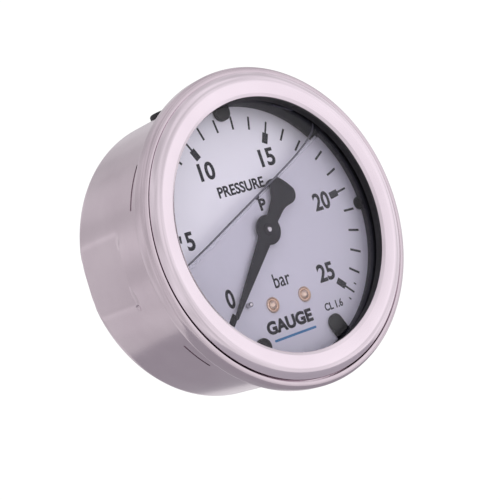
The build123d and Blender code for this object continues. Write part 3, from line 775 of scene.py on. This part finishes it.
# --- bezel and window
@dataclass
class Glazing:
    """The bezel ring, the window, its seal and the black ring that spaces the dial."""

    bezel: Extent = Extent.of("bezel_ring")
    window: Extent = Extent.of("window")
    spacer: Extent = Extent.of("spacer_ring")
    gasket: Extent = Extent.of("window_gasket")
    lip_seal: float = 38.75
    sheet: float = 0.8
    opening: float = 26.93
    lip_width: float = 0.67
    lip_drop: float = 0.7
    crown_radius: float = 30.9
    skirt_top: float = 38.35
    offset: float = 0.4  # the ring sits a little off centre in the rim
    offset_angle: float = 42.0
    seal_top: float = 38.1
    spacer_bore: float = 27.5
    finger_width: float = 3.8
    finger_thickness: float = 1.2
    finger_share: float = 0.9  # half a finger's width at most, as a share of its length
    finger_rounding: float = 0.98  # of its tip, as a share of half its width
    fingers: tuple[Pair, ...] = ((90.0, 24.6), (0.0, 25.9), (180.0, 25.9), (293.6, 22.8), (245.0, 22.8))

    def build_bezel(self) -> None:
        """Spin the bezel ring: skirt, crowned front and turned-in lip."""
        skirt = self.bezel.radius
        crown = self.bezel.front
        lip = self.opening + self.lip_width
        lip_height = crown - self.lip_drop / 2
        bore = skirt - self.sheet
        front = rounded([
            (skirt, self.bezel.back, 0.0), (skirt, self.skirt_top + 0.1, 0.35),
            (self.crown_radius, crown, 3.4), (lip, lip_height, 0.22),
            (self.opening, crown - self.lip_drop, 0.2), (self.opening, self.lip_seal, 0.0),
            (self.opening + self.sheet, self.lip_seal - 0.1, 0.0),
            (self.opening + 2 * self.sheet, self.seal_top, 0.0), (bore, self.seal_top, 0.0),
            (bore, self.bezel.back, 0.0)
        ], 10)
        ring = turned("spun_bezel_ring", front, 320)
        settle(ring, on_dial(self.offset, self.offset_angle))
        fit(ring, Slot.POLISHED_BEZEL, "bezel_ring")

    def build_window(self) -> None:
        """Grind the glass disc, with a small chamfer on each edge."""
        radius, back, front = self.window.radius, self.window.back, self.window.front
        chamfer = 0.25
        outline = [
            (0.0, back), (radius / 2, back), (radius - chamfer, back), (radius, back + chamfer),
            (radius, front - chamfer), (radius - chamfer, front), (radius / 2, front), (0.0, front)
        ]
        pane = turned("window_glass", outline)
        fit(pane, Slot.WINDOW_PANE, "window")

    def build_gasket(self) -> None:
        """Mould the rubber seal, whose lip lines the bezel's opening."""
        face, inner = self.window.front, self.opening + 0.03
        rim, back = self.window.radius, self.gasket.back
        seal = turned("window_seal", rounded([
            (inner, face, 0.0), (inner, self.lip_seal, 0.2), (inner + 0.5, self.lip_seal, 0.1),
            (inner + 1.2, self.gasket.front, 0.0), (self.gasket.radius, self.gasket.front, 0.2),
            (self.gasket.radius, back, 0.2), (rim + 0.02, back, 0.0), (rim + 0.02, face, 0.0)
        ], 4))
        fit(seal, Slot.SEAL_RUBBER, "window_gasket")

    def build_spacer(self) -> None:
        """Mould the black ring, with its fingers over the dial's edge."""
        back, front, outer = self.spacer.back, self.spacer.front, self.spacer.radius
        ring = turned("spacer_wall", rounded([
            (outer, back, 0.15), (outer, front, 0.3), (self.spacer_bore, front, 0.4),
            (self.spacer_bore, back, 0.15)
        ], 4))
        parts = [ring]
        for angle, tip in self.fingers:
            half = min(self.finger_width / 2, (self.spacer_bore - tip) * self.finger_share)
            root, rounding = self.spacer_bore + 0.2, half * self.finger_rounding
            corners = [
                (root, -half, 0.0), (tip, -half, rounding), (tip, half, rounding), (root, half, 0.0)
            ]
            finger = plate("finger", rounded(corners, 8), back + 0.02, self.finger_thickness)
            bevel(finger, 0.12, 2)
            settle(finger, turn=angle)
            parts.append(finger)
        moulding = join("dial_spacer_ring", parts)
        smooth(moulding)
        fit(moulding, Slot.BLACK_MOULDING, "spacer_ring")

    def build(self) -> None:
        """Build the whole sub-assembly."""
        self.build_bezel()
        self.build_window()
        self.build_gasket()
        self.build_spacer()


# --- connection
@dataclass
class Connection:
    """The brass pressure connection with its G 1/4 B pipe thread."""

    major_radius: float = 6.58
    pitch: float = 1.337
    depth: float = 0.856
    half_angle: float = 27.5
    overcut: float = 0.3
    thread_start: float = -0.9  # height of the groove's middle by the shoulder
    turns: int = 9
    edge: float = 0.18
    flatness: float = 0.5  # degrees, faces closer to level than this are one face

    def thread_tool(self) -> Piece:
        """Make the helical ridge that cuts the groove.

        Returns:
            The tool, closed at both its ends.
        """
        root = self.major_radius - self.depth
        half = math.tan(math.radians(self.half_angle)) * (self.depth + self.overcut)
        outer, middle = self.major_radius + self.overcut, self.thread_start
        corners = [(root, middle), (outer, middle - half), (outer, middle + half), (root, middle)]
        tool = trace("thread_tool", [place(radius, height, 0) for radius, height in corners])
        bpy.ops.mesh.remove_doubles(threshold=MERGE_DISTANCE)
        modify(
            tool, "SCREW", axis="Y", screw_offset=self.pitch * MM, iterations=self.turns,
            steps=FINE_STEPS, render_steps=FINE_STEPS
        )
        edit(tool)
        bpy.ops.mesh.fill_holes(sides=0)
        close_up(tool)
        return tool

    def build(self) -> None:
        """Take a copy of the blank, break its edges and cut the thread."""
        choose(frame["nodes"]["connection_block"])
        bpy.ops.object.duplicate(linked=False)
        blank = name_piece("brass_pressure_connection")
        bpy.ops.object.parent_clear(type="CLEAR_KEEP_TRANSFORM")
        settle(blank)
        close_up(blank)
        edit(blank)
        bpy.ops.mesh.dissolve_limited(angle_limit=math.radians(self.flatness))
        bevel(blank, self.edge, 2)
        combine(blank, self.thread_tool(), "DIFFERENCE")
        close_up(blank)
        smooth(blank)
        fit(blank, Slot.BRASS, "connection_block")


# --- dial
@dataclass
class Dial:
    """The enamelled dial with its printed scale, its rivets and the stop pin."""

    size: Extent = Extent.of("dial")
    hole: float = 2.0
    ink: float = 0.02
    zero_angle: float = 225.0
    bar_step: float = 10.8
    full_scale: int = 25
    minor: Triple = (22.6, 25.5, 0.5)
    block: Triple = (20.3, 22.7, 1.5)
    major: Triple = (22.7, 25.3, 0.45)
    tolerance: Triple = (24.5, 25.2, 0.3)
    tolerance_angle: float = 4.3
    rivet_places: tuple[Pair, ...] = ((-4.45, -14.85), (4.45, -14.85))
    pin_place: Pair = (-10.7, -13.4)

    def mark(self, angle: float, band: Triple) -> Piece:
        """Print one radial mark.

        Args:
            angle: where it stands on the dial.
            band: its inner radius, outer radius and width.

        Returns:
            The mark, a film of ink with crisp corners.
        """
        inner, outer, width = band
        corners = [(inner, -width / 2), (outer, -width / 2), (outer, width / 2), (inner, width / 2)]
        film = plate("mark", corners, self.size.front, self.ink)
        settle(film, turn=angle)
        return film

    def build_scale(self) -> None:
        """Print the scale's marks."""
        marks = []
        for bar in range(self.full_scale + 1):
            angle = self.zero_angle - bar * self.bar_step
            bands = [self.minor] if bar % 5 else [self.block, self.major]
            marks += [self.mark(angle, band) for band in bands]
        for end in (0, self.full_scale):
            middle = self.zero_angle - end * self.bar_step
            for side in (-1, 1):
                marks.append(self.mark(middle + side * self.tolerance_angle, self.tolerance))
        fit(join("printed_scale", marks), Slot.DIAL_ENAMEL, finish=PRINTING_INK)

    def text(
        self, words: str, middle: Pair, height: float, width: float, weight: float = 0.03
    ) -> Piece:
        """Print a figure or a word, upright on the dial.

        Args:
            words: what it says.
            middle: x and z of its centre.
            height: height of its capitals or figures.
            width: its width.
            weight: how much the strokes are fattened, as a share of the type size.

        Returns:
            The print, a film of ink.
        """
        clear_selection()
        bpy.ops.object.text_add()
        letters = bpy.context.object
        letters.data.body = words
        letters.data.size = height * MM
        letters.data.offset = weight * height * MM
        letters.data.resolution_u = 4
        bpy.ops.object.convert(target="MESH")
        film = name_piece("print_" + "".join(c for c in words if c.isalnum()))
        edit(film)
        bpy.ops.mesh.remove_doubles(threshold=MERGE_DISTANCE)
        bpy.ops.mesh.extrude_region_move(TRANSFORM_OT_translate={"value": (0, 0, self.ink * MM)})
        bpy.ops.object.mode_set(mode="OBJECT")
        film.scale = (width * MM / film.dimensions.x, height * MM / film.dimensions.y, 1.0)
        settle(film)
        low = Vector(film.bound_box[0])
        high = Vector(film.bound_box[6])
        centre = (low + high) / 2
        settle(film, Vector((-centre.x, -centre.y, -low.z)))
        film.rotation_euler = (math.pi / 2, 0, 0)
        settle(film, place(middle[0], self.size.front, middle[1]))
        close_up(film)
        return film

    def build_print(self) -> None:
        """Print the figures, the unit and a plain legend."""
        figures = (
            ("0", (-14.3, -11.0), 4.0, 2.1), ("5", (-18.1, 2.4), 3.9, 2.1),
            ("10", (-8.3, 15.3), 3.9, 4.2), ("15", (8.6, 15.1), 3.9, 4.2), ("20", (17.3, 2.7), 3.9, 4.6),
            ("25", (12.0, -11.9), 3.9, 4.6)
        )
        films = [self.text(*figure) for figure in figures]
        fit(join("printed_figures", films), Slot.DIAL_ENAMEL, finish=PRINTING_INK)
        legends = (
            ("bar", (-0.1, -10.4), 3.0, 4.5, 0.01), ("PRESSURE", (-0.9, 10.3), 2.4, 12.8, 0.03),
            ("P", (1.5, 5.5), 2.6, 1.9, 0.04), ("CL 1.6", (11.2, -18.9), 1.7, 5.2),
            ("GAUGE", (-1.6, -19.2), 2.8, 12.6, 0.05)
        )
        films = [self.text(*legend) for legend in legends]
        fit(join("printed_legend", films), Slot.DIAL_ENAMEL, finish=PRINTING_INK)
        rule = plate("blue_rule", rounded(
            [(-6.9, -22.2, 0.2), (4.7, -22.2, 0.2), (4.7, -21.7, 0.2), (-6.9, -21.7, 0.2)], 4
        ), self.size.front, self.ink)
        fit(rule, Slot.DIAL_ENAMEL, finish=BLUE_INK)

    def build_sheet(self) -> None:
        """Blank the dial sheet."""
        back, front, radius = self.size.back, self.size.front, self.size.radius
        sheet = turned("dial_sheet", rounded([
            (self.hole, back, 0.05), (radius, back, 0.08), (radius, front, 0.12),
            (self.hole, front, 0.1)
        ], 3))
        fit(sheet, Slot.DIAL_ENAMEL, "dial")

    def build_rivets(self) -> None:
        """Head one copper rivet, and put a copy at each place."""
        size = Extent.of("dial_rivets")
        face = self.size.front
        top = size.front
        rivet = turned("rivet", rounded([
            (0.0, size.back, 0.0), (1.3, size.back, 0.12), (1.3, size.back + 0.3, 0.05),
            (0.9, size.back + 0.3, 0.0), (0.9, size.back + 1.3, 0.0), (1.5, size.back + 1.3, 0.05),
            (1.5, self.size.back, 0.05), (0.9, self.size.back, 0.0), (0.9, face, 0.0),
            (1.65, face, 0.05), (1.62, face + 0.32, 0.12), (1.42, top, 0.1),
            (1.24, face + 0.04, 0.04), (1.1, face + 0.04, 0.04), (0.92, top - 0.2, 0.16),
            (0.4, top, 0.24), (0.0, top, 0.0)
        ], 4), 40)
        places = [place(x, 0, z) for x, z in self.rivet_places]
        pair = repeated("dial_copper_rivets", rivet, places)
        smooth(pair, 40)
        fit(pair, Slot.COPPER, "dial_rivets")

    def build_stop_pin(self) -> None:
        """Turn the pin that stops the pointer at zero."""
        size = Extent.of("stop_pin")
        pin = turned("pointer_stop_pin", rounded([
            (0.0, size.back, 0.0), (0.5, size.back, 0.06), (0.5, size.front, 0.24),
            (0.0, size.front, 0.0)
        ], 4), 32)
        settle(pin, place(self.pin_place[0], 0, self.pin_place[1]))
        fit(pin, Slot.BRIGHT_STEEL, "stop_pin")

    def build(self) -> None:
        """Build the whole sub-assembly."""
        self.build_sheet()
        self.build_scale()
        self.build_print()
        self.build_rivets()
        self.build_stop_pin()


# --- pointer
@dataclass
class Pointer:
    """The black pointer and its bush."""

    size: Extent = Extent.of("pointer")
    rest_angle: float = 225.0
    disc: float = 3.2
    needle: float = 21.5
    root_width: float = 3.2
    tip_width: float = 0.85
    tail: float = 12.3
    tail_angle: float = 23.0
    tail_waist: float = 0.66
    waist_rounding: float = 5.0
    tail_rounding: float = 2.2
    tail_neck: float = 2.9
    tail_shares: tuple[float, ...] = (0.36, 0.12, -0.12, -0.36)
    disc_steps: int = 14

    def arc(self, start: float, span: float) -> Outline:
        """Points round the disc, from a start and over a span in radians."""
        turns = [start + span * step / self.disc_steps for step in range(self.disc_steps + 1)]
        return [(self.disc * math.cos(turn), self.disc * math.sin(turn)) for turn in turns]

    def build_sheet(self) -> None:
        """Blank the pointer: needle, disc and fanned tail in one sheet."""
        disc_needle = math.asin(self.root_width / 2 / self.disc)
        disc_tail = math.asin(self.tail_neck / 2 / self.disc)
        points: Outline = [
            (self.needle, -self.tip_width / 2), (self.needle + self.tip_width / 3, 0.0),
            (self.needle, self.tip_width / 2)
        ]
        span = math.pi - disc_tail - disc_needle
        points += self.arc(disc_needle, span)
        lean = math.radians(self.tail_angle)
        waist = (self.disc / 2 + self.tail) / 2
        waist_lean = lean * self.tail_waist
        side = [
            (*points[-1], 0.0),
            (-waist * math.cos(waist_lean), waist * math.sin(waist_lean), self.waist_rounding),
            (-self.tail * math.cos(lean), self.tail * math.sin(lean), self.tail_rounding)
        ]
        back = [
            (-self.tail * math.cos(lean * share), self.tail * math.sin(lean * share), 0.0)
            for share in self.tail_shares
        ]
        mirrored = [(x, -z, rounding) for x, z, rounding in reversed(side)]
        fan = rounded([*side, *back, *mirrored], 8)
        points += fan[1:-1]
        points += self.arc(math.pi + disc_tail, span)
        sheet = plate("pointer_blank", points, self.size.back, self.size.front - self.size.back)
        bevel(sheet, 0.09, 2)
        settle(sheet, turn=self.rest_angle)
        smooth(sheet)
        fit(sheet, Slot.POINTER_PAINT, "pointer", body="pointer_shaft")

    def build_hub(self) -> None:
        """Turn the bush that is staked into the pointer."""
        size = Extent.of("pointer_hub")
        base, top = self.size.back, self.size.front
        hub = turned("pointer_bush", rounded([
            (0.76, size.back, 0.0), (1.7, size.back, 0.12), (1.7, base, 0.0), (1.0, base, 0.0),
            (1.0, top, 0.0), (1.3, top, 0.0), (1.26, size.front, 0.09), (0.62, size.front, 0.05),
            (0.62, base, 0.0), (0.76, base, 0.0)
        ], 3), 40)
        fit(hub, Slot.POINTER_PAINT, "pointer_hub", body="pointer_shaft")

    def build(self) -> None:
        """Build the whole sub-assembly."""
        self.build_sheet()
        self.build_hub()


# --- filling
@dataclass
class Filling:
    """The glycerine that fills the case up to its free surface.

    The gauge is held leaning, so the surface is level with the room and not with the
    dial: its normal is given in the gauge's own frame.
    """

    radius: float = 27.6  # into the black ring's wall
    dial_face: float = Extent.of("dial").front
    window_back: float = Extent.of("window").back
    film: float = 0.05  # left clear of the glass, and sunk into the dial
    up: Triple = (-0.389, 0.289, 0.875)
    surface_at: float = 6.37  # height of the surface over the dial's centre
    bead: float = 0.2
    contact: Sequence[Pair] = (
        (-24.4, -2.5), (-18.7, -0.3), (-11.3, 3.0), (-3.8, 6.2), (4.5, 9.8), (12.3, 13.3), (15.8, 15.2),
        (17.7, 16.4), (19.6, 17.8), (20.3, 19.5), (19.3, 21.3), (16.5, 22.7), (10.8, 25.0)
    )

    def build(self) -> None:
        """Fill the space, cut it at the surface and draw the meniscus."""
        back = self.dial_face - self.film
        front = self.window_back - self.film
        fill = turned("glycerine", rounded(
            [(0.0, back, 0.0), (self.radius, back, 0.05), (self.radius, front, 0.05), (0.0, front, 0.0)],
            2
        ))
        edit(fill)
        bpy.ops.mesh.bisect(
            plane_co=place(0, self.dial_face, self.surface_at), plane_no=self.up, use_fill=True,
            clear_outer=True
        )
        close_up(fill)
        smooth(fill)
        fit(fill, Slot.WINDOW_PANE, finish=GLYCERINE)
        self.build_meniscus()

    def build_meniscus(self) -> None:
        """Draw the bead of liquid that climbs the glass along the surface's edge."""
        height = self.window_back - self.bead
        clear_selection()
        bpy.ops.curve.primitive_nurbs_path_add()
        bead = name_piece("liquid_meniscus")
        spline = bead.data.splines[0]
        spline.points.add(len(self.contact) - len(spline.points))
        for point, (x, z) in zip(spline.points, self.contact):
            point.co = (*place(x, height, z), 1.0)
        spline.order_u = 3
        spline.use_endpoint_u = True
        bead.data.bevel_depth = self.bead * MM
        bead.data.bevel_resolution = 3
        bead.data.resolution_u = 8
        bead.data.use_fill_caps = True
        bpy.ops.object.convert(target="MESH")
        close_up(bead)
        smooth(bead)
        # the bead's opaque dark grey is painted refraction of the black ring, not the colour of clear
        # glycerine
        fit(bead, Slot.WINDOW_PANE, finish=PAINTED_REFRACTION_MENISCUS)


# --- the rest of the CAD
def dress_movement() -> None:
    """Give every CAD node that stays its finish, by the slot that the record gives it."""
    slots = {entry["node"]: entry["material_slot"] for entry in frame["record"]["subparts"]}
    for name, node in frame["nodes"].items():
        dress(node, Slot[slots[name].upper()].value)
        log.info("%s keeps its CAD shape", name)


# --- studio
@dataclass
class Studio:
    """The floor, the light and the camera."""

    target: Triple = (0.0, 31.0, 0.0)
    azimuth: float = -39.7
    elevation: float = -1.83
    roll: float = 18.6
    distance: float = 292.4
    slide: Pair = (-2.15, -3.57)
    lens: float = 100.8
    floor_drop: float = 120.0
    floor_radius: float = 185.0
    view_reach: float = 9000.0
    room_scale: float = 3.4  # how finely the room's light and shade vary
    bright_side: Triple = (0.82, -0.56, -0.1)
    facing: Pair = (0.5, 1.0)  # how squarely a direction meets the bright side
    front_levels: Pair = (0.77, 1.0)  # and the light from there
    cloud: Pair = (0.35, 0.65)
    room_levels: Pair = (0.76, 1.1)
    air: str = "#FFFBFF"
    backdrop_level: float = 1.05  # just past white
    lamp_distance: float = 700.0
    lamps: tuple[tuple[Triple, float, float], ...] = (
        ((0.15, -1.0, 0.1), 500.0, 1.0), ((-0.6, -0.5, 0.8), 400.0, 0.6)
    )

    def camera_turn(self) -> Matrix:
        """The camera's right, up and back directions, as a turn."""
        azimuth, elevation = math.radians(self.azimuth), math.radians(self.elevation)
        back = Vector((
            math.sin(azimuth) * math.cos(elevation), -math.cos(azimuth) * math.cos(elevation),
            math.sin(elevation)
        ))
        level = Vector((math.cos(azimuth), math.sin(azimuth), 0))
        turn = Matrix((level, back.cross(level), back)).transposed()
        return turn @ Matrix.Rotation(-math.radians(self.roll), 3, "Z")

    def build_camera(self) -> None:
        """Set up the camera."""
        clear_selection()
        turn = self.camera_turn()
        shift = turn @ Vector((*self.slide, self.distance)) * MM
        bpy.ops.object.camera_add(location=place(*self.target) + shift)
        camera = bpy.context.object
        camera.rotation_euler = turn.to_euler()
        camera.data.lens = self.lens
        camera.data.clip_start = MM
        camera.data.clip_end = self.view_reach * MM
        bpy.context.scene.camera = camera

    def build_floor(self) -> None:
        """Lay a plain pale floor, a round table top that ends outside the picture."""
        clear_selection()
        bpy.ops.mesh.primitive_circle_add(
            vertices=TURN_STEPS, radius=self.floor_radius * MM, fill_type="NGON",
            location=(0, 0, -self.floor_drop * MM)
        )
        floor = name_piece("studio_floor")
        paper = Finish(
            "pale_grey_paper", "#BDBBC0", "#BAB8BE", roughness=0.9, spread=0.05, grain=2.0, mottle=300.0
        )
        dress(floor, paper)

    def build_world(self) -> None:
        """Light the room from all round, brighter in front of the gauge."""
        world = bpy.data.worlds.new("studio_air")
        world.use_nodes = True
        bpy.context.scene.world = world
        tree = world.node_tree
        tree.nodes.clear()
        direction = add_node(tree, "ShaderNodeTexCoord").outputs["Generated"]
        sides = {0: direction, 1: self.bright_side}
        facing = add_node(tree, "ShaderNodeVectorMath", sides, operation="DOT_PRODUCT")
        front = remap(tree, facing.outputs["Value"], self.facing, self.front_levels)
        cloud = noise(tree, direction, self.room_scale, 1.0)
        room = remap(tree, cloud, self.cloud, self.room_levels)
        strength = add_node(tree, "ShaderNodeMath", {0: front, 1: room}, operation="MULTIPLY")
        light = {"Color": linear(self.air), "Strength": strength.outputs[0]}
        seen = {"Color": linear("#FFFFFF"), "Strength": self.backdrop_level}
        air = add_node(tree, "ShaderNodeBackground", light)
        backdrop = add_node(tree, "ShaderNodeBackground", seen)
        mixed = by_ray(tree, "Is Camera Ray", air.outputs[0], backdrop.outputs[0])
        add_node(tree, "ShaderNodeOutputWorld", {"Surface": mixed})

    def softbox(self, toward: Triple, size: float, watts: float) -> None:
        """Hang a square soft light, facing the gauge.

        Args:
            toward: the direction it stands in, seen from the gauge.
            size: its width in millimetres.
            watts: its power.
        """
        clear_selection()
        direction = Vector(toward).normalized()
        bpy.ops.object.light_add(type="AREA", location=direction * self.lamp_distance * MM)
        lamp = bpy.context.object
        lamp.data.size = size * MM
        lamp.data.energy = watts
        lamp.rotation_euler = direction.to_track_quat("Z", "Y").to_euler()
        lamp.visible_glossy = False

    def build(self) -> None:
        """Build the whole set."""
        self.build_camera()
        self.build_floor()
        self.build_world()
        for lamp in self.lamps:
            self.softbox(*lamp)
        bpy.context.scene.view_settings.view_transform = "Standard"


def main() -> None:
    """Build the gauge and its set, and log each new piece's face count."""
    logging.basicConfig(level=logging.INFO, format="%(name)s %(message)s")
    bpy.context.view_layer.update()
    dress_movement()
    Studio().build()
    for assembly in (Case(), Glazing(), Connection(), Dial(), Pointer(), Filling()):
        assembly.build()
    clear_selection()


if __name__ == "__main__":
    main()
